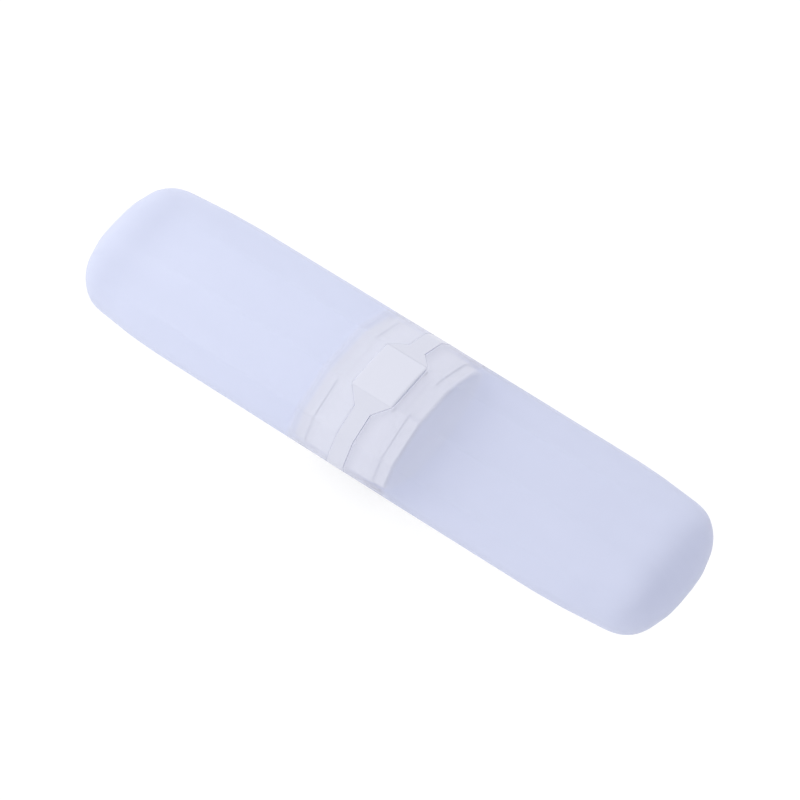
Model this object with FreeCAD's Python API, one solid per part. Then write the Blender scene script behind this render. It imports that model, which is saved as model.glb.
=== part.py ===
"""Toothbrush travel case: two frosted half shells on a white collar with a press pad.

The case lies along X with its flat underside on Z = 0 and the middle of its belt at X = 0.
The cap is the half at +X and pulls off along X; the press pad is on the top facet.
"""
import FreeCAD, Part
import math
import os

# Whole case, in millimetres: the two lengths run from the belt's middle to the tips, and the corner width
# is across the side corners; all three are from before the tips and corners are rounded
base_length = 99.3
cap_length = 101.5
corner_width = 52.6
case_height = 28.0
shell_wall = 1.5

# Ten-sided section: its three corners from the side to the top, as shares of half the width and height
corner_width_shares = (1.0, 0.785, 0.31)
corner_height_shares = (0.0, 0.57, 1.0)
crease_radius = 4.0
facet_draft = 0.25

# Domed ends: their sides draw in from the taper's start to the shoulders beside the crowned tip, and one
# round, a share of the dome's half height, runs along both rims and round the shoulders
dome_taper_share = 0.48
dome_taper_radius = 150.0
dome_side_inset = 0.55
dome_shoulder_inset = 4.2
dome_top_room = 0.2
dome_round_share = 0.99
end_crown = 2.7
end_round_share = 0.7

# Belt between the halves, which widens into a cut-cornered pad on the top facet
belt_width = 5.3
pad_length = 13.8
pad_corner_reach = 8.1
pad_end_reach = 12.6
pad_corner_radius = 1.2
base_joint_gap = 0.15
cap_seam_gap = 0.7

# Sleeve of the collar, which plugs into both halves
sleeve_reach = 15.0
sleeve_wall = 1.3
sleeve_base_clearance = 0.2
sleeve_cap_clearance = 0.3
lip_start = 11.4
lip_step = 0.35
groove_width = 0.3
base_bridge_width = 17.0
cap_bridge_width = 12.0

# Press pad on its springy tongue
tongue_root = 10.6
tongue_end = 9.8
tongue_width = 12.0
tongue_slit = 0.4
pad_side_gap = 0.12
pad_crown = 0.6
pad_wall = 1.3
catch_radius = 0.6
catch_height = 0.2

cut_overrun = 5.0

half_corner_width = corner_width / 2
half_height = case_height / 2
belt_edge = belt_width / 2
pad_edge = pad_length / 2
base_inset = shell_wall + sleeve_base_clearance
cap_inset = shell_wall + sleeve_cap_clearance
bore_inset = cap_inset + sleeve_wall


def inset_points(points, insets):
    """Corners of a convex outline, given anticlockwise, with each side moved in by its own distance."""
    normals = []
    for i, (a, b) in enumerate(points):
        after = points[(i + 1) % len(points)]
        length = math.hypot(after[0] - a, after[1] - b)
        normals.append(((after[1] - b) / length, (a - after[0]) / length))
    moved = []
    for i, (a, b) in enumerate(points):
        before, after = normals[i - 1], normals[i]
        cosine = before[0] * after[0] + before[1] * after[1]
        along_before = (insets[i - 1] - cosine * insets[i]) / (1 - cosine ** 2)
        along_after = (insets[i] - cosine * insets[i - 1]) / (1 - cosine ** 2)
        moved.append((a - along_before * before[0] - along_after * after[0],
                      b - along_before * before[1] - along_after * after[1]))
    return moved


def plan_face(points, radii, height):
    """Level face with an arc of its own radius at each corner of the outline, or none where it is zero."""
    corners = [FreeCAD.Vector(x, y, height) for x, y in points]
    starts, ends, arcs = [], [], []
    for i, corner in enumerate(corners):
        back = (corners[i - 1] - corner).normalize()
        ahead = (corners[(i + 1) % len(corners)] - corner).normalize()
        half_angle = back.getAngle(ahead) / 2
        bisector = (back + ahead).normalize()
        reach = radii[i] / math.tan(half_angle)
        starts.append(corner + back * reach)
        ends.append(corner + ahead * reach)
        middle = corner + bisector * (radii[i] / math.sin(half_angle) - radii[i])
        arcs.append(Part.Arc(starts[i], middle, ends[i]).toShape() if radii[i] else None)
    edges = []
    for i, arc in enumerate(arcs):
        if arc:
            edges.append(arc)
        edges.append(Part.LineSegment(ends[i], starts[(i + 1) % len(corners)]).toShape())
    return Part.Face(Part.Wire(edges))


def section_points(inset, draft_share):
    """Corners of the ten-sided section, moved in by an inset and by a share of each facet's draft."""
    shares = zip(corner_width_shares, corner_height_shares)
    quarter = [(half_corner_width * across, half_height * up) for across, up in shares]
    upper = quarter + [(-y, z) for y, z in reversed(quarter)]
    lower = [(y, -z) for y, z in reversed(upper[1:-1])]
    facet_drafts = [facet_draft, facet_draft, 0, facet_draft, facet_draft] * 2
    return inset_points(upper + lower, [inset + draft_share * draft for draft in facet_drafts])


def faceted_body(start, end, inset, draft_length=None):
    """Ten-sided body between two places on X with rounded long edges, drafted over any length given."""
    rings = []
    for x in (start, end):
        corners = section_points(inset, x / draft_length if draft_length else 0)
        rings.append([FreeCAD.Vector(x, y, half_height + z) for y, z in corners])
    outlines = [rings[0][::-1], rings[1]]
    for i in range(len(rings[0])):
        outlines.append([rings[0][i - 1], rings[0][i], rings[1][i], rings[1][i - 1]])
    shell = Part.Shell([Part.Face(Part.makePolygon(points + points[:1])) for points in outlines])
    shell.sewShape()
    body = Part.Solid(shell)
    long_edges = [edge for edge in body.Edges if edge.BoundBox.XLength > (end - start) / 2]
    return body.makeFillet(crease_radius - inset, long_edges)


def dome_form(length, start, inset):
    """Smooth round-ended form that closes the end at +X: a rounded plan with a deep round on both rims."""
    shoulder = length - end_crown
    taper_start = length * dome_taper_share
    sides = [section_points(0, x / length)[0][0] for x in (shoulder, taper_start, start)]
    shoulder_side = sides[0] - dome_shoulder_inset
    far_side = [(length, 0), (shoulder, shoulder_side), (taper_start, sides[1] - dome_side_inset),
                (start, sides[2] - dome_side_inset)]
    points = [(x, -y) for x, y in reversed(far_side[1:])] + far_side
    half_form = half_height + dome_top_room
    round_radius = dome_round_share * half_form
    end_slope = math.atan(end_crown / shoulder_side)
    side_slope = math.atan((far_side[2][1] - shoulder_side) / (shoulder - taper_start))
    corner_reach = round_radius * math.tan((math.pi / 2 - end_slope - side_slope) / 2)
    end_round_reach = end_round_share * (shoulder_side / math.cos(end_slope) - corner_reach)
    end_radius = end_round_reach / math.tan(end_slope)
    radii = [dome_taper_radius, round_radius, end_radius, round_radius, dome_taper_radius]
    plan_radii = [0] + [radius - inset for radius in radii] + [0]
    plan = plan_face(inset_points(points, [inset] * 6 + [0]), plan_radii, inset - dome_top_room)
    form = plan.extrude(FreeCAD.Vector(0, 0, 2 * (half_form - inset)))
    level_edges = [edge for edge in form.Edges if edge.BoundBox.ZLength < half_form / 2]
    rims = [edge for edge in level_edges if edge.BoundBox.XMax > start + shell_wall]
    return form.makeFillet(round_radius - inset, rims)


def half_body(length, start, inset):
    """Closed half of the case at +X, from start to its domed end."""
    body = faceted_body(start, length + cut_overrun, inset, length)
    return body.common(dome_form(length, start, inset))


def pad_outline(grow):
    """Plan of the belt's pad, an octagon with long cut corners, grown evenly on every side and raised."""
    corner = [(pad_edge, pad_corner_reach), (belt_edge, pad_end_reach)]
    far_side = corner + [(-x, y) for x, y in reversed(corner)]
    points = far_side + [(-x, -y) for x, y in far_side]
    outline = inset_points(points, [-grow] * len(points))
    face = plan_face(outline, [pad_corner_radius] * len(points), half_height)
    return face.extrude(FreeCAD.Vector(0, 0, half_height + cut_overrun))


def box_between(x_range, y_range, z_range):
    """Box between two places on each axis."""
    size = [high - low for low, high in (x_range, y_range, z_range)]
    return Part.makeBox(*size, FreeCAD.Vector(x_range[0], y_range[0], z_range[0]))


def half_shell(length, gap):
    """Hollow half at +X whose mouth follows the belt and its pad at the given gap."""
    mouth = belt_edge + gap
    shell = half_body(length, mouth, 0.0).cut(half_body(length, mouth - cut_overrun, shell_wall))
    return shell.cut(pad_outline(gap))


def tongue_window():
    """Way through the collar for the tongue: a strip that runs under both halves, and the pad across it."""
    rise = (half_height, case_height + cut_overrun)
    strip_side = tongue_width / 2 + tongue_slit
    pad_side = pad_corner_reach + pad_side_gap
    pad_end = pad_edge + tongue_slit
    strip = box_between((-tongue_root, tongue_end + tongue_slit), (-strip_side, strip_side), rise)
    return strip.fuse(box_between((-pad_end, pad_end), (-pad_side, pad_side), rise))


def lip_bridge(start, end, inset, width):
    """Piece of the full-size sleeve, on top only, that runs on over the groove or the lip."""
    reach = box_between((start, end), (-width / 2, width / 2), (half_height, case_height))
    return faceted_body(start, end, inset).common(reach)


def sleeve():
    """Plug of the collar: grooved near its base end, with a smaller lead-in lip at its cap end."""
    groove_end = -lip_start - groove_width
    pieces = [
        faceted_body(-sleeve_reach, groove_end, base_inset),
        faceted_body(groove_end, -lip_start, base_inset + lip_step),
        faceted_body(-lip_start, 0, base_inset),
        faceted_body(0, lip_start, cap_inset),
        faceted_body(lip_start, sleeve_reach, cap_inset + lip_step),
        lip_bridge(groove_end, -lip_start, base_inset, base_bridge_width),
        lip_bridge(lip_start, sleeve_reach, cap_inset, cap_bridge_width),
    ]
    return pieces[0].multiFuse(pieces[1:])


def belt():
    """Flush belt round the case with the pad's wings, solid down to the middle of the case."""
    ring = faceted_body(-pad_edge, pad_edge, 0.0)
    band = box_between((-belt_edge, belt_edge), (-corner_width, corner_width),
                       (-cut_overrun, case_height + cut_overrun))
    return ring.common(band.fuse(pad_outline(0.0)))


def collar():
    """Sleeve and belt in one, bored through, with the window that frees the tongue."""
    bore = faceted_body(-sleeve_reach - cut_overrun, sleeve_reach + cut_overrun, bore_inset)
    return sleeve().fuse(belt()).cut(bore).cut(tongue_window()).removeSplitter()


def latch_tongue():
    """Strip of the sleeve's wall, round at its root, with the crowned pad and a catch at its free end."""
    strip_low = case_height - bore_inset
    strip_high = case_height - cap_inset
    strip_side = tongue_width / 2
    root_radius = sleeve_wall / 2
    root_axis = tongue_slit - tongue_root + root_radius
    strip = box_between((root_axis, tongue_end), (-strip_side, strip_side), (strip_low, strip_high))
    root_place = FreeCAD.Vector(root_axis, -strip_side, strip_low + root_radius)
    root = Part.makeCylinder(root_radius, tongue_width, root_place, FreeCAD.Vector(0, 1, 0))
    near = FreeCAD.Vector(-pad_edge, -pad_corner_reach, case_height)
    far = FreeCAD.Vector(-pad_edge, pad_corner_reach, case_height)
    top = FreeCAD.Vector(-pad_edge, 0, case_height + pad_crown)
    near_foot = FreeCAD.Vector(-pad_edge, -pad_corner_reach, strip_low)
    far_foot = FreeCAD.Vector(-pad_edge, pad_corner_reach, strip_low)
    profile = Part.Wire([Part.Arc(near, top, far).toShape(),
                         Part.LineSegment(far, far_foot).toShape(),
                         Part.LineSegment(far_foot, near_foot).toShape(),
                         Part.LineSegment(near_foot, near).toShape()])
    pad = Part.Face(profile).extrude(FreeCAD.Vector(pad_length, 0, 0)).common(pad_outline(0.0))
    core_end = pad_edge - pad_wall
    core_side = pad_corner_reach - pad_wall
    core = box_between((-core_end, core_end), (-core_side, core_side),
                       (strip_low - cut_overrun, case_height - pad_wall))
    catch_axis = strip_high + catch_height - catch_radius
    catch_place = FreeCAD.Vector(tongue_end - catch_radius, -strip_side, catch_axis)
    catch = Part.makeCylinder(catch_radius, tongue_width, catch_place, FreeCAD.Vector(0, 1, 0))
    return strip.multiFuse([root, pad, catch]).cut(core).removeSplitter()


os.makedirs("parts", exist_ok=True)
base_half = half_shell(base_length, base_joint_gap)
nodes = {
    "base_shell": base_half.mirror(FreeCAD.Vector(0, 0, 0), FreeCAD.Vector(1, 0, 0)),
    "cap_shell": half_shell(cap_length, cap_seam_gap),
    "collar": collar(),
    "latch_tongue": latch_tongue(),
}
for name, shape in nodes.items():
    shape.exportStep(f"parts/{name}.step")
    box = shape.BoundBox
    print(f"{name}: {len(shape.Solids)} solid, valid {shape.isValid()}, {shape.Volume:.1f} mm3, "
          f"X {box.XMin:.2f} to {box.XMax:.2f}, Y {box.YMin:.2f} to {box.YMax:.2f}, "
          f"Z {box.ZMin:.2f} to {box.ZMax:.2f}")
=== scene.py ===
import math
import bpy
import numpy as np
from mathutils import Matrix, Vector


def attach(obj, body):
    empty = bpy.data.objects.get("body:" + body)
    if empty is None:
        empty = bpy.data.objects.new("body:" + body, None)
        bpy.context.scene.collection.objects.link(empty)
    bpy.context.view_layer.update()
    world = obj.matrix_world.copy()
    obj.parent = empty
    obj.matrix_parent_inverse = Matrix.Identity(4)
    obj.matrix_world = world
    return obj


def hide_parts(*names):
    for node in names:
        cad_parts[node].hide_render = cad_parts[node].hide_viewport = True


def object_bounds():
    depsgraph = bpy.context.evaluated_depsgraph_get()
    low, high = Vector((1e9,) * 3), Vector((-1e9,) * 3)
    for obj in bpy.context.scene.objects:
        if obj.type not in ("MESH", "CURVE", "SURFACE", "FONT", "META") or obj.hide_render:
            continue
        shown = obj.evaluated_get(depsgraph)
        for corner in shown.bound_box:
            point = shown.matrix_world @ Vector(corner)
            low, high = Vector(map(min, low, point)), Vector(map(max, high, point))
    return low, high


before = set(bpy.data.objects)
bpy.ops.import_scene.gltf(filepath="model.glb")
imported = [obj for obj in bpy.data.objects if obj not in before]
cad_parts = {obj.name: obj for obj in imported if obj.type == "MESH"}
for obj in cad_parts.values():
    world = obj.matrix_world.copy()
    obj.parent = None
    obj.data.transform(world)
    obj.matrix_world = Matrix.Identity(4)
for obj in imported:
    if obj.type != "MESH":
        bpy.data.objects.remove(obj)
cad_low, cad_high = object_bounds()

# Base shell: the half that stays in the hand, moulded in frosted polypropylene with a lavender tint.
# Ten long facets with soft creases run out into a domed end; the wall is 1.5 mm thick, and the mouth,
# which follows the belt and its pad, is pushed onto the collar. The sizes of both halves are in millimetres.
millimetre = 0.001
base_length, base_gap, base_lip_round = 99.3, 0.06, 0.12
wall, lead_in, lead_depth = 1.5, 0.3, 0.75
corners = np.array([(26.3, 0.0), (20.65, 7.98), (8.15, 14.0)])
facet_draft, side_round = 0.25, 4.0
crease_crisp, crease_growth, crease_from, crease_to = 2.0, 6.0, 40.0, 14.0
dome_start, dome_radius, dome_band = 27.0, 14.06, 0.14
dome_line = np.array([(-97.0, 11.9), (-57.5, 11.9), (-42.0, 11.8), (-27.0, 11.1),
                      (-15.8, 9.1), (-14.75, 5.2), (-14.56, 2.6), (-14.53, 0.0)])
passage_crisp, passage_growth, passage_from, passage_to = 0.4, 2.6, 45.0, 15.0
belt_edge, pad_edge, pad_side, pad_reach, cut_soft = 2.65, 6.9, 8.1, 12.6, 0.8
edges = np.diff(corners, axis=0)
slope_normals = np.stack([edges[:, 1], -edges[:, 0]], 1) / np.hypot(*edges.T)[:, None]
facet_normals = np.vstack([slope_normals, (0.0, 1.0)])
facet_reach = (facet_normals * corners).sum(1)
column_steps = (4, 6, 5, 18, 6, 8)
long_rings, ring_crowding, dome_rings, dome_leans = 44, 1.25, 33, (2.6, 87.4)
search_reach, search_steps = 40.0, 20


def ease(x, low, high):
    """From 0 to 1 between two places, level at both."""
    t = np.clip((x - low) / (high - low), 0.0, 1.0)
    return t * t * (3.0 - 2.0 * t)


def crease_radius(x, length):
    """The creases are crisp along the case and soften towards the dome."""
    return crease_crisp + crease_growth * ease(x, length - crease_from, length - crease_to)


def crease_centres(x, length):
    """Middles of the crease rounds in a quarter of the section, the facets' insets and the rounds' radius."""
    radius = crease_radius(x, length)
    reach = facet_reach - radius[:, None] - facet_draft * (x / length)[:, None] * np.array([1.0, 1.0, 0.0])
    centres = [np.stack([reach[:, 0] / facet_normals[0, 0], 0.0 * x], 1)]
    for i in (0, 1):
        (a, b), (c, d) = facet_normals[i:i + 2]
        turn = a * d - b * c
        across = d * reach[:, i] - b * reach[:, i + 1]
        up = a * reach[:, i + 1] - c * reach[:, i]
        centres.append(np.stack([across, up], 1) / turn)
    centres.append(np.stack([0.0 * x, reach[:, 2]], 1))
    return np.stack(centres, 1), reach, radius


def from_runs(point, start, end):
    """Least distance of each point from a chain of straight runs."""
    run = end - start
    t = np.clip(((point - start) * run).sum(-1) / (run ** 2).sum(-1), 0.0, 1.0)
    return np.sqrt(((point - start - t[..., None] * run) ** 2).sum(-1)).min(-1)


def skin_distance(x, y, z, length):
    """Distance outside the faceted body and the dome together, with a soft passage from one to the other."""
    centres, reach, radius = crease_centres(x, length)
    point = np.stack([np.abs(y), np.abs(z)], 1)
    depth = (point @ facet_normals.T - reach).max(1)
    beyond = from_runs(point[:, None], centres[:, :-1], centres[:, 1:])
    faceted = np.where(depth < 0.0, depth, beyond) - radius
    side_reach = reach[:, 0] + radius - side_round
    side_depth = point @ facet_normals[0] - side_reach
    side = np.stack([side_reach / facet_normals[0, 0], 0.0 * x], 1)[:, None]
    side_end = side + 2.0 * corners[2, 1] * np.array([-facet_normals[0, 1], facet_normals[0, 0]])
    side_skin = np.where(side_depth < 0.0, side_depth, from_runs(point[:, None], side, side_end)) - side_round
    faceted = np.maximum(faceted, side_skin)
    line = dome_line + np.array([length, 0.0])
    plan = np.stack([x, np.abs(y)], 1)[:, None]
    run = np.diff(line, axis=0)
    beside = run[:, 0] * (plan[..., 1] - line[:-1, 1]) - run[:, 1] * (plan[..., 0] - line[:-1, 0])
    flat = np.where((beside <= 0.0).all(1), 0.0, from_runs(plan, line[:-1], line[1:]))
    dome = np.hypot(flat, np.maximum(np.abs(z) - dome_band, 0.0)) - dome_radius
    soft = passage_crisp + passage_growth * ease(x, length - passage_from, length - passage_to)
    near = np.maximum(soft - np.abs(faceted - dome), 0.0) / soft
    return np.maximum(faceted, dome) + near ** 2 * soft / 4.0


def skin_ring(start_x, heading, depth, length):
    """Ring of points at a depth under the skin, each found along its own heading from the case's axis."""
    axis = np.stack([start_x, 0.0 * start_x, 0.0 * start_x], 1)
    near, far = np.zeros(len(start_x)), np.full(len(start_x), search_reach)
    for _ in range(search_steps):
        middle = (near + far) / 2.0
        x, y, z = (axis + middle[:, None] * heading).T
        inside = skin_distance(x, y, z, length) < -depth
        near, far = np.where(inside, middle, near), np.where(inside, far, middle)
    return axis + near[:, None] * heading


def section_headings(x, length):
    """Directions round the section at x, and its points, closest together on the creases and beside the pad."""
    centres, _, radius = (part[0] for part in crease_centres(np.array([x]), length))
    angles = [0.0] + [math.atan2(n[1], n[0]) for n in facet_normals]
    quarter = []
    for i in range(3):
        crease_steps, facet_steps = column_steps[2 * i:2 * i + 2]
        turn = np.arange(crease_steps) / crease_steps * (angles[i + 1] - angles[i]) + angles[i]
        quarter.append(centres[i] + radius * np.stack([np.cos(turn), np.sin(turn)], 1))
        along = np.arange(facet_steps)[:, None] / facet_steps
        quarter.append(centres[i] + along * (centres[i + 1] - centres[i]) + radius * facet_normals[i])
    quarter = np.vstack(quarter)
    top = np.array([(0.0, centres[3][1] + radius)])
    half = np.vstack([quarter, top, quarter[:0:-1] * (-1.0, 1.0)])
    ring = np.vstack([half, half * -1.0])
    return ring / np.hypot(*ring.T)[:, None], ring


def mouth_line(ring, gap):
    """Where the mouth starts along the case at each place round it: out past the pad's cut corners on top."""
    slope_x, slope_y = pad_reach - pad_side, pad_edge - belt_edge
    steep = math.hypot(slope_x, slope_y)
    corner = (slope_x * pad_edge + slope_y * pad_side) / steep + gap
    cut = (corner - slope_y / steep * np.abs(ring[:, 0])) * steep / slope_x
    flat = pad_edge + gap
    near = np.maximum(cut_soft - np.abs(cut - flat), 0.0) / cut_soft
    pad = np.minimum(cut, flat) - near ** 2 * cut_soft / 4.0
    return np.where(ring[:, 1] > 0.0, np.maximum(pad, belt_edge + gap), belt_edge + gap)


def half_shell(name, length, gap, lip_round, way):
    """Closed mesh of one half: from the tip along the outside, round the mouth and back to the tip inside."""
    turn_x = length - dome_start
    headings, ring = section_headings(turn_x, length)
    first, first_ring = section_headings(belt_edge, length)
    mouth = mouth_line(first_ring, gap)
    count = len(ring)
    shares = np.linspace(0.0, 1.0, long_rings) ** ring_crowding

    def straight(share, depth, shift=0.0):
        x = mouth + shift + share * (turn_x - mouth - shift)
        heading = first + share * (headings - first)
        return skin_ring(x, np.column_stack([np.zeros(count), heading]), depth, length)

    def domed(angle, depth):
        heading = np.column_stack([np.full(count, math.cos(angle)), math.sin(angle) * headings])
        return skin_ring(np.full(count, turn_x), heading, depth, length)

    lean = np.radians(np.linspace(*dome_leans, dome_rings))
    outside = [domed(a, 0.0) for a in lean] + [straight(t, 0.0, lip_round) for t in shares[::-1]]
    mid_round, hold_depth, hold_shift = 0.3 * lip_round, wall - 0.05 * lead_depth, 0.9 * lead_in
    lip = [straight(0.0, mid_round, mid_round), straight(0.0, lip_round),
           straight(0.0, wall - lead_depth), straight(0.0, hold_depth, hold_shift)]
    inside = [straight(t, wall, lead_in) for t in shares] + [domed(a, wall) for a in lean[::-1]]
    tips = [skin_ring(np.array([turn_x]), np.array([(1.0, 0.0, 0.0)]), depth, length) for depth in (0.0, wall)]
    axis_height = corners[2, 1]
    points = np.vstack([tips[0], *outside, *lip, *inside, tips[1]]) + np.array([0.0, 0.0, axis_height])
    points[:, 0] *= way
    rings = len(outside) + len(lip) + len(inside)
    faces = []
    for i in range(count):
        j = (i + 1) % count
        faces.append((0, 1 + i, 1 + j))
        for r in range(rings - 1):
            a, b = 1 + r * count, 1 + (r + 1) * count
            faces.append((a + i, b + i, b + j, a + j))
        last = 1 + (rings - 1) * count
        faces.append((last + i, len(points) - 1, last + j))
    if way < 0:
        faces = [face[::-1] for face in faces]
    mesh = bpy.data.meshes.new(name)
    mesh.from_pydata((points * millimetre).tolist(), [], faces)
    mesh.polygons.foreach_set("use_smooth", [True] * len(faces))
    strip, inner_from = rings + 1, len(outside) + 1
    mesh.polygons.foreach_set("material_index", [int(k % strip > inner_from) for k in range(len(faces))])
    shell = bpy.data.objects.new(name, mesh)
    bpy.context.scene.collection.objects.link(shell)
    return shell


def socket(group, name, kind, out=False, value=None):
    """One input or output of a node group."""
    made = group.interface.new_socket(name, in_out="OUTPUT" if out else "INPUT", socket_type=kind)
    if value is not None:
        made.default_value = value


def moulded_skin_group():
    """Fine spark-eroded grain, and slow clouds of pigment drawn out along the way the melt flowed."""
    group = bpy.data.node_groups.new("moulded_skin", "ShaderNodeTree")
    socket(group, "Grain Size", "NodeSocketFloat", value=0.0003)
    socket(group, "Cloud Size", "NodeSocketFloat", value=0.03)
    socket(group, "Grain", "NodeSocketFloat", out=True)
    socket(group, "Cloud", "NodeSocketFloat", out=True)
    nodes, links = group.nodes, group.links
    given = nodes.new("NodeGroupInput")
    result = nodes.new("NodeGroupOutput")
    place = nodes.new("ShaderNodeTexCoord")
    scales = {}
    for name in ("Grain Size", "Cloud Size"):
        scales[name] = nodes.new("ShaderNodeMath")
        scales[name].operation = "DIVIDE"
        scales[name].inputs[0].default_value = 1.0
        links.new(given.outputs[name], scales[name].inputs[1])
    grain = nodes.new("ShaderNodeTexNoise")
    grain.inputs["Detail"].default_value = 3.0
    links.new(place.outputs["Object"], grain.inputs["Vector"])
    links.new(scales["Grain Size"].outputs[0], grain.inputs["Scale"])
    links.new(grain.outputs["Fac"], result.inputs["Grain"])
    stretch = nodes.new("ShaderNodeMapping")
    stretch.inputs["Scale"].default_value = (0.35, 1.0, 1.0)
    cloud = nodes.new("ShaderNodeTexNoise")
    cloud.inputs["Detail"].default_value = 2.0
    links.new(place.outputs["Object"], stretch.inputs["Vector"])
    links.new(stretch.outputs["Vector"], cloud.inputs["Vector"])
    links.new(scales["Cloud Size"].outputs[0], cloud.inputs["Scale"])
    links.new(cloud.outputs["Fac"], result.inputs["Cloud"])
    return group


def ranged(material, source, low, high):
    """Noise, most of which lies in a narrow band, spread over a range of values."""
    noise_low, noise_high = 0.3, 0.7
    spread = material.node_tree.nodes.new("ShaderNodeMapRange")
    spread.inputs["From Min"].default_value = noise_low
    spread.inputs["From Max"].default_value = noise_high
    spread.inputs["To Min"].default_value = low
    spread.inputs["To Max"].default_value = high
    material.node_tree.links.new(source, spread.inputs["Value"])
    return spread.outputs["Result"]


def moulded_plastic(name, pale, deep, grain_size, grain_depth, roughness):
    """Moulded plastic whose colour drifts between two shades, with a grained, half-matt skin."""
    material = bpy.data.materials.new(name)
    material.use_nodes = True
    nodes, links = material.node_tree.nodes, material.node_tree.links
    shader = nodes["Principled BSDF"]
    shader.inputs["IOR"].default_value = 1.49
    skin = nodes.new("ShaderNodeGroup")
    skin.node_tree = moulded_skin
    skin.inputs["Grain Size"].default_value = grain_size
    skin.inputs["Cloud Size"].default_value = 0.025
    tint = nodes.new("ShaderNodeMix")
    tint.data_type = "RGBA"
    tint.inputs["A"].default_value = (*deep, 1.0)
    tint.inputs["B"].default_value = (*pale, 1.0)
    links.new(ranged(material, skin.outputs["Cloud"], 0.0, 1.0), tint.inputs["Factor"])
    links.new(tint.outputs["Result"], shader.inputs["Base Color"])
    links.new(ranged(material, skin.outputs["Grain"], *roughness), shader.inputs["Roughness"])
    bump = nodes.new("ShaderNodeBump")
    bump.inputs["Strength"].default_value = 0.6
    bump.inputs["Distance"].default_value = grain_depth
    links.new(skin.outputs["Grain"], bump.inputs["Height"])
    links.new(bump.outputs["Normal"], shader.inputs["Normal"])
    return material, skin


def see_through(material, veil, behind, passing):
    """Opacity of a frosted face: a veil to the eye, another from behind, and next to nothing in the way of light."""
    nodes, links = material.node_tree.nodes, material.node_tree.links
    side = nodes.new("ShaderNodeNewGeometry")
    ray = nodes.new("ShaderNodeLightPath")
    to_eye = nodes.new("ShaderNodeMix")
    opacity = nodes.new("ShaderNodeMix")
    links.new(side.outputs["Backfacing"], to_eye.inputs["Factor"])
    links.new(veil, to_eye.inputs["A"])
    to_eye.inputs["B"].default_value = behind
    links.new(ray.outputs["Is Camera Ray"], opacity.inputs["Factor"])
    opacity.inputs["A"].default_value = passing
    links.new(to_eye.outputs["Result"], opacity.inputs["B"])
    links.new(opacity.outputs["Result"], nodes["Principled BSDF"].inputs["Alpha"])


def seat_mask(material, reach, fade):
    """1 where the shell sits on the sleeve, which wets its frosted inside and clears it, and 0 beyond."""
    nodes, links = material.node_tree.nodes, material.node_tree.links
    place = nodes.new("ShaderNodeTexCoord")
    axes = nodes.new("ShaderNodeSeparateXYZ")
    along = nodes.new("ShaderNodeMath")
    along.operation = "ABSOLUTE"
    clear = nodes.new("ShaderNodeMapRange")
    clear.interpolation_type = "SMOOTHSTEP"
    clear.inputs["From Min"].default_value = reach
    clear.inputs["From Max"].default_value = reach + fade
    clear.inputs["To Min"].default_value = 1.0
    clear.inputs["To Max"].default_value = 0.0
    links.new(place.outputs["Object"], axes.inputs[0])
    links.new(axes.outputs["X"], along.inputs[0])
    links.new(along.outputs[0], clear.inputs["Value"])
    return clear.outputs["Result"]


def frosted_plastic(name, pale, deep, seat, beside):
    """Milky outside of a shell: whiter and clearer where it sits on the sleeve, and milkier far from it."""
    sleeve_reach, sleeve_fade, haze_fade, belt_reach, belt_fade = 0.0150, 0.0025, 0.035, 0.0065, 0.0070
    far_veil, sleeve_veil, belt_veil = (0.80, 0.85), 0.42, 0.70
    material, skin = moulded_plastic(name, pale, deep, frost_grain, frost_depth, frost_roughness)
    nodes, links = material.node_tree.nodes, material.node_tree.links
    seated = seat_mask(material, sleeve_reach, sleeve_fade)
    shader = nodes["Principled BSDF"]
    colour = nodes.new("ShaderNodeMix")
    colour.data_type = "RGBA"
    links.new(seated, colour.inputs["Factor"])
    links.new(shader.inputs["Base Color"].links[0].from_socket, colour.inputs["A"])
    colour.inputs["B"].default_value = (*seat, 1.0)
    links.new(colour.outputs["Result"], shader.inputs["Base Color"])
    away = nodes.new("ShaderNodeMix")
    links.new(seat_mask(material, sleeve_reach, haze_fade), away.inputs["Factor"])
    links.new(ranged(material, skin.outputs["Cloud"], *far_veil), away.inputs["A"])
    away.inputs["B"].default_value = beside
    clear = nodes.new("ShaderNodeMix")
    links.new(seat_mask(material, belt_reach, belt_fade), clear.inputs["Factor"])
    clear.inputs["A"].default_value = sleeve_veil
    clear.inputs["B"].default_value = belt_veil
    veil = nodes.new("ShaderNodeMix")
    links.new(seated, veil.inputs["Factor"])
    links.new(away.outputs["Result"], veil.inputs["A"])
    links.new(clear.outputs["Result"], veil.inputs["B"])
    see_through(material, veil.outputs["Result"], back_veil, light_veil)
    return material


moulded_skin = moulded_skin_group()
frost_grain, frost_depth, inside_depth, frost_roughness = 0.00025, 0.00002, 0.00001, (0.46, 0.56)
back_veil, light_veil, inside_veil = 0.9, 0.06, (0.9, 0.96)
base_pale, base_deep, base_seat, base_beside = (
    (0.709, 0.749, 0.925), (0.694, 0.734, 0.91), (0.77, 0.785, 0.89), 0.78)
inside_pale, inside_deep = (0.72, 0.76, 0.95), (0.705, 0.745, 0.935)
base_skin = frosted_plastic("frosted_base", base_pale, base_deep, base_seat, base_beside)
inner_wall, wall_marks = moulded_plastic(
    "frosted_inside", inside_pale, inside_deep, frost_grain, inside_depth, frost_roughness)
see_through(inner_wall, ranged(inner_wall, wall_marks.outputs["Cloud"], *inside_veil), 0.0, light_veil)
base_shell = half_shell("frosted_base", base_length, base_gap, base_lip_round, -1)
base_shell.data.materials.append(base_skin)
base_shell.data.materials.append(inner_wall)
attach(base_shell, "base")
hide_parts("base_shell")

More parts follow.
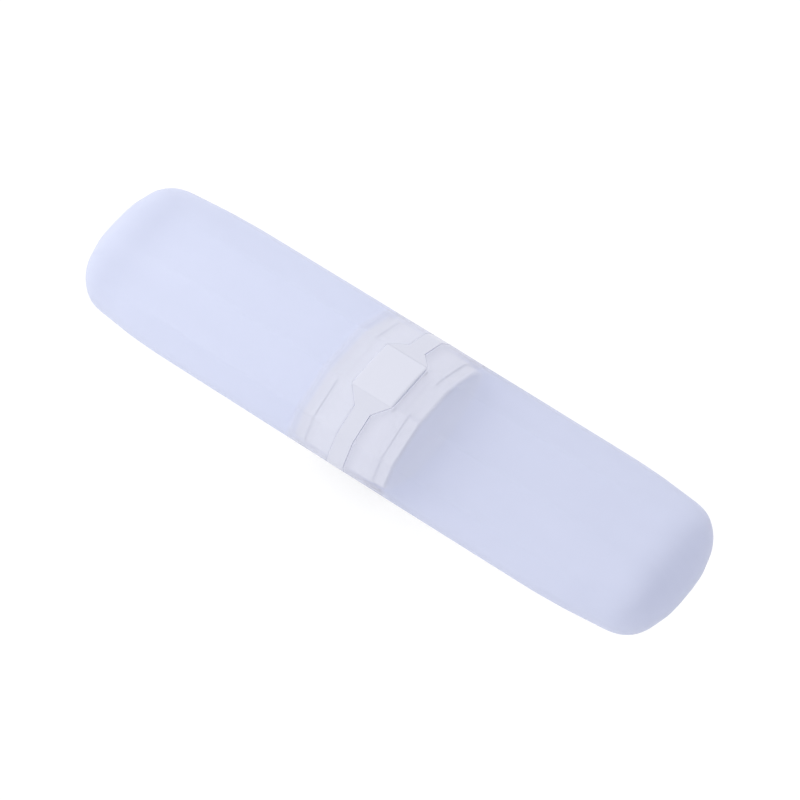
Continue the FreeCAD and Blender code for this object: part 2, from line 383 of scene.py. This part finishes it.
# Collar: one white moulding, glued or snapped into the base; its sleeve plugs into both halves and its
# flush belt, with the two cut-cornered wings of the pad, shows between them.
# A groove and a lip run round the sleeve, and a flat strip on top bridges both.
satin_pale, satin_deep = (0.733, 0.744, 0.838), (0.718, 0.729, 0.823)
satin_grain, satin_depth, satin_roughness = 0.0004, 0.00001, (0.34, 0.44)
satin_white, _ = moulded_plastic(
    "satin_white", satin_pale, satin_deep, satin_grain, satin_depth, satin_roughness)
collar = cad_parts["collar"]
collar.data.materials.clear()
collar.data.materials.append(satin_white)

# Latch tongue: a springy strip cut free from the sleeve by hairline slits, with the crowned press pad on it.
# It bends down when a thumb presses the pad. The pad's colour is painted lighter than the collar's, as painted light
# for the light its crown catches. Sizes in millimetres.
pad_x, pad_y, pad_foot, pad_edge_top, pad_rise = 6.9, 8.2, 24.9, 27.87, 0.48
pad_ends, pad_sides = ((0.3, 0.12), (0.6, 0.44)), ((0.06, 0.06), (0.06, 0.06))
pad_nip, pad_nip_from, pad_cells = 0.014, 7.3, 25
tongue_side, tongue_foot, root_top, tip_top = 6.38, 24.9, 26.3, 26.2
root_end, root_chamfer, tip_end, tongue_join = 10.55, 0.3, 10.17, 6.5
catch_x, catch_z, catch_radius, catch_half, catch_steps = 9.2, 25.8, 0.6, 48.2, 8
# The pad's colours are the collar's satin made lighter: painted light, standing in for the light that the crowned
# pad catches.
pad_lit_pale, pad_lit_deep = (0.775, 0.786, 0.88), (0.76, 0.771, 0.865)
pad_painted_light, _ = moulded_plastic(
    "satin_pad_painted_light", pad_lit_pale, pad_lit_deep, satin_grain, satin_depth, satin_roughness)


def strip_of(outline, side):
    """Points and faces of a strip with the given outline along the case, between two sides across it."""
    points = [(x, y, z) for y in (-side, side) for x, z in outline]
    n = len(outline)
    faces = [tuple(range(n)), tuple(range(2 * n - 1, n - 1, -1))]
    faces += [(i, i + n, (i + 1) % n + n, (i + 1) % n) for i in range(n)]
    return points, faces


def white_piece(name, pad, strips):
    """One white piece made of closed parts: the pad, shaded smooth and given the lighter pad colour, which is
    painted light, and the strips on either side.
    """
    points, faces, of_pad = [], [], []
    for part_points, part_faces in (pad, *strips):
        of_pad += [not points] * len(part_faces)
        faces += [tuple(k + len(points) for k in face) for face in part_faces]
        points += part_points
    mesh = bpy.data.meshes.new(name)
    mesh.from_pydata([tuple(millimetre * v for v in point) for point in points], [], faces)
    mesh.polygons.foreach_set("use_smooth", of_pad)
    mesh.polygons.foreach_set("material_index", [int(painted_light_face) for painted_light_face in of_pad])
    mesh.materials.append(satin_white)
    mesh.materials.append(pad_painted_light)
    piece = bpy.data.objects.new(name, mesh)
    bpy.context.scene.collection.objects.link(piece)
    return piece


def pad_form():
    """Closed block of the pad: crowned across, with a soft round at the cap's end and small ones elsewhere."""
    lines = []
    steps = np.array([0.0, 0.04, 0.14, 0.32, 0.6])
    for reach, ((first, _), (last, _)) in zip((pad_x, pad_y), (pad_ends, pad_sides)):
        inner = np.linspace(-reach + first, reach - last, pad_cells)
        lines.append(np.concatenate([-reach + first * steps, inner, (reach - last * steps)[::-1]]))
    x, y = np.meshgrid(*lines, indexing="ij")
    x *= 1.0 - pad_nip * ease(np.abs(y), pad_nip_from, pad_y)
    fall = 0.0
    for place, reach, rounds in zip((x, y), (pad_x, pad_y), (pad_ends, pad_sides)):
        for way, (width, drop) in zip((-1.0, 1.0), rounds):
            over = np.clip((way * place - reach + width) / width, 0.0, 1.0)
            fall = fall + drop * (1.0 - np.sqrt(1.0 - over ** 2))
    z = pad_edge_top + pad_rise * (1.0 - np.abs(y / pad_y) ** 3) - fall
    rows, columns = x.shape
    points = np.stack([x, y, z], 2).reshape(-1, 3).tolist()
    at = np.arange(rows * columns).reshape(rows, columns)
    faces = [(at[i, j], at[i + 1, j], at[i + 1, j + 1], at[i, j + 1])
             for i in range(rows - 1) for j in range(columns - 1)]
    rim = [*at[:-1, 0], *at[-1, :-1], *at[:0:-1, -1], *at[0, :0:-1]]
    foot, n = len(points), len(rim)
    points += [(points[k][0], points[k][1], pad_foot) for k in rim]
    faces += [(rim[i], foot + i, foot + (i + 1) % n, rim[(i + 1) % n]) for i in range(n)]
    faces.append(tuple(range(foot + n - 1, foot - 1, -1)))
    return points, [tuple(int(k) for k in face) for face in faces]


catch_turn = [math.radians(catch_half - 2.0 * catch_half * i / catch_steps) for i in range(catch_steps + 1)]
catch = [(catch_x + catch_radius * math.sin(t), catch_z + catch_radius * math.cos(t)) for t in catch_turn]
root = [(-root_end, tongue_foot + root_chamfer), (root_chamfer - root_end, tongue_foot),
        (-tongue_join, tongue_foot), (-tongue_join, root_top), (-root_end, root_top)]
tip = [(tongue_join, tongue_foot), (tip_end, tongue_foot), (tip_end, tip_top), *catch, (tongue_join, tip_top)]
press_tongue = white_piece("press_tongue", pad_form(), [strip_of(root, tongue_side), strip_of(tip, tongue_side)])
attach(press_tongue, "latch")
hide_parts("latch_tongue")

# Cap shell: the half that pulls off along the case, from the same frosted moulding as the base.
# It is about 2 mm longer, its mouth is rounder, and a fine open seam is left between the mouth and the belt. Its
# colours are the base's painted darker: painted shade, so that the cap's half looks less lit.
cap_length, cap_gap, cap_lip_round = 101.5, 0.07, 0.32
# Painted shade: the cap's skin and seat colours are darker copies of the base's.
cap_shaded_pale, cap_shaded_deep, cap_shaded_seat, cap_beside = (
    (0.675, 0.71, 0.88), (0.66, 0.695, 0.865), (0.755, 0.765, 0.87), 0.58)
cap_shell = half_shell("frosted_cap", cap_length, cap_gap, cap_lip_round, 1)
cap_shell.data.materials.append(frosted_plastic("frosted_cap", cap_shaded_pale, cap_shaded_deep, cap_shaded_seat, cap_beside))
cap_shell.data.materials.append(inner_wall)
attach(cap_shell, "cap")
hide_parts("cap_shell")

# Floor: a plain white sheet of paper that the case lies on, blown out to the eye but for the soft shadow on it.
# It throws its own light back up onto the case.
floor_reach = 3.0
paper_white, seen_grey, seen_glow = (0.94, 0.94, 0.95), (0.3, 0.3, 0.3), 0.76
floor_mesh = bpy.data.meshes.new("floor")
floor_mesh.from_pydata([(-floor_reach, -floor_reach, 0), (floor_reach, -floor_reach, 0),
                        (floor_reach, floor_reach, 0), (-floor_reach, floor_reach, 0)], [], [(0, 1, 2, 3)])
floor = bpy.data.objects.new("floor", floor_mesh)
floor.location.z = cad_low.z
bpy.context.scene.collection.objects.link(floor)
paper = bpy.data.materials.new("white_paper")
paper.use_nodes = True
paper_nodes, paper_links = paper.node_tree.nodes, paper.node_tree.links
paper_nodes.remove(paper_nodes["Principled BSDF"])
plain = paper_nodes.new("ShaderNodeBsdfDiffuse")
plain.inputs["Color"].default_value = (*paper_white, 1.0)
seen = paper_nodes.new("ShaderNodeBsdfDiffuse")
seen.inputs["Color"].default_value = (*seen_grey, 1.0)
glow = paper_nodes.new("ShaderNodeEmission")
glow.inputs["Strength"].default_value = seen_glow
bright = paper_nodes.new("ShaderNodeAddShader")
paper_links.new(seen.outputs[0], bright.inputs[0])
paper_links.new(glow.outputs[0], bright.inputs[1])
ray = paper_nodes.new("ShaderNodeLightPath")
looked_at = ray.outputs["Is Camera Ray"]
for kind in ("Is Glossy Ray", "Is Transmission Ray"):
    either = paper_nodes.new("ShaderNodeMath")
    either.operation = "MAXIMUM"
    paper_links.new(looked_at, either.inputs[0])
    paper_links.new(ray.outputs[kind], either.inputs[1])
    looked_at = either.outputs[0]
choose = paper_nodes.new("ShaderNodeMixShader")
paper_links.new(looked_at, choose.inputs["Fac"])
paper_links.new(plain.outputs[0], choose.inputs[1])
paper_links.new(bright.outputs[0], choose.inputs[2])
paper_links.new(choose.outputs[0], paper_nodes["Material Output"].inputs["Surface"])
floor_mesh.materials.append(paper)

# Studio light: a white tent, brighter low down than overhead and open on the cap's side so that the cap's end lies
# in shade, and one large soft box above the base's end, a little to the front.
tent_white, tent_gap = (1.04, 1.043, 1.055), (0.01, 0.03, 0.16)
gap_from, gap_to, low_cloth, top_cloth = 0.5, 0.95, 1.1, 0.8
soft_box_size, soft_box_power = 0.45, 0.8
soft_box_place, soft_box_aim = Vector((-0.40, -0.07, 0.50)), Vector((0.0, 0.0, 0.014))
tent = bpy.data.worlds.new("white_tent")
tent.use_nodes = True
tent_nodes, tent_links = tent.node_tree.nodes, tent.node_tree.links
heading = tent_nodes.new("ShaderNodeTexCoord")
tent_axes = tent_nodes.new("ShaderNodeSeparateXYZ")
tent_links.new(heading.outputs["Generated"], tent_axes.inputs[0])
cloth = {}
for axis, low, high, start, end in (("X", gap_from, gap_to, 0.0, 1.0), ("Z", 0.0, 1.0, low_cloth, top_cloth)):
    cloth[axis] = tent_nodes.new("ShaderNodeMapRange")
    cloth[axis].interpolation_type = "SMOOTHSTEP"
    for name, value in (("From Min", low), ("From Max", high), ("To Min", start), ("To Max", end)):
        cloth[axis].inputs[name].default_value = value
    tent_links.new(tent_axes.outputs[axis], cloth[axis].inputs["Value"])
opening = tent_nodes.new("ShaderNodeMix")
opening.data_type = "RGBA"
opening.inputs["A"].default_value = (*tent_white, 1.0)
opening.inputs["B"].default_value = (*tent_gap, 1.0)
tent_links.new(cloth["X"].outputs["Result"], opening.inputs["Factor"])
tent_links.new(opening.outputs["Result"], tent_nodes["Background"].inputs["Color"])
tent_links.new(cloth["Z"].outputs["Result"], tent_nodes["Background"].inputs["Strength"])
bpy.context.scene.world = tent
soft_box_light = bpy.data.lights.new("soft_box", "AREA")
soft_box_light.shape = "SQUARE"
soft_box_light.size = soft_box_size
soft_box_light.energy = soft_box_power
soft_box = bpy.data.objects.new("soft_box", soft_box_light)
soft_box.location = soft_box_place
soft_box.rotation_mode = "QUATERNION"
soft_box.rotation_quaternion = (soft_box_aim - soft_box_place).to_track_quat("-Z", "Y")
bpy.context.scene.collection.objects.link(soft_box)

# Camera: above and in front, turned towards the cap's end, with a long lens.
eye_azimuth, eye_elevation = math.radians(36.7), math.radians(56.42)
eye_distance, lens_length, film_width = 1.191, 192.43, 36.0
target = Vector((0.0016, 0.00251, 0.01409))
back = Vector((math.sin(eye_azimuth) * math.cos(eye_elevation),
               -math.cos(eye_azimuth) * math.cos(eye_elevation), math.sin(eye_elevation)))
lens = bpy.data.cameras.new("camera")
lens.sensor_width = film_width
lens.lens = lens_length
camera = bpy.data.objects.new("camera", lens)
camera.location = target + back * eye_distance
camera.rotation_mode = "QUATERNION"
camera.rotation_quaternion = (-back).to_track_quat("-Z", "Y")
bpy.context.scene.collection.objects.link(camera)
bpy.context.scene.camera = camera
bpy.context.scene.view_settings.view_transform = "Standard"
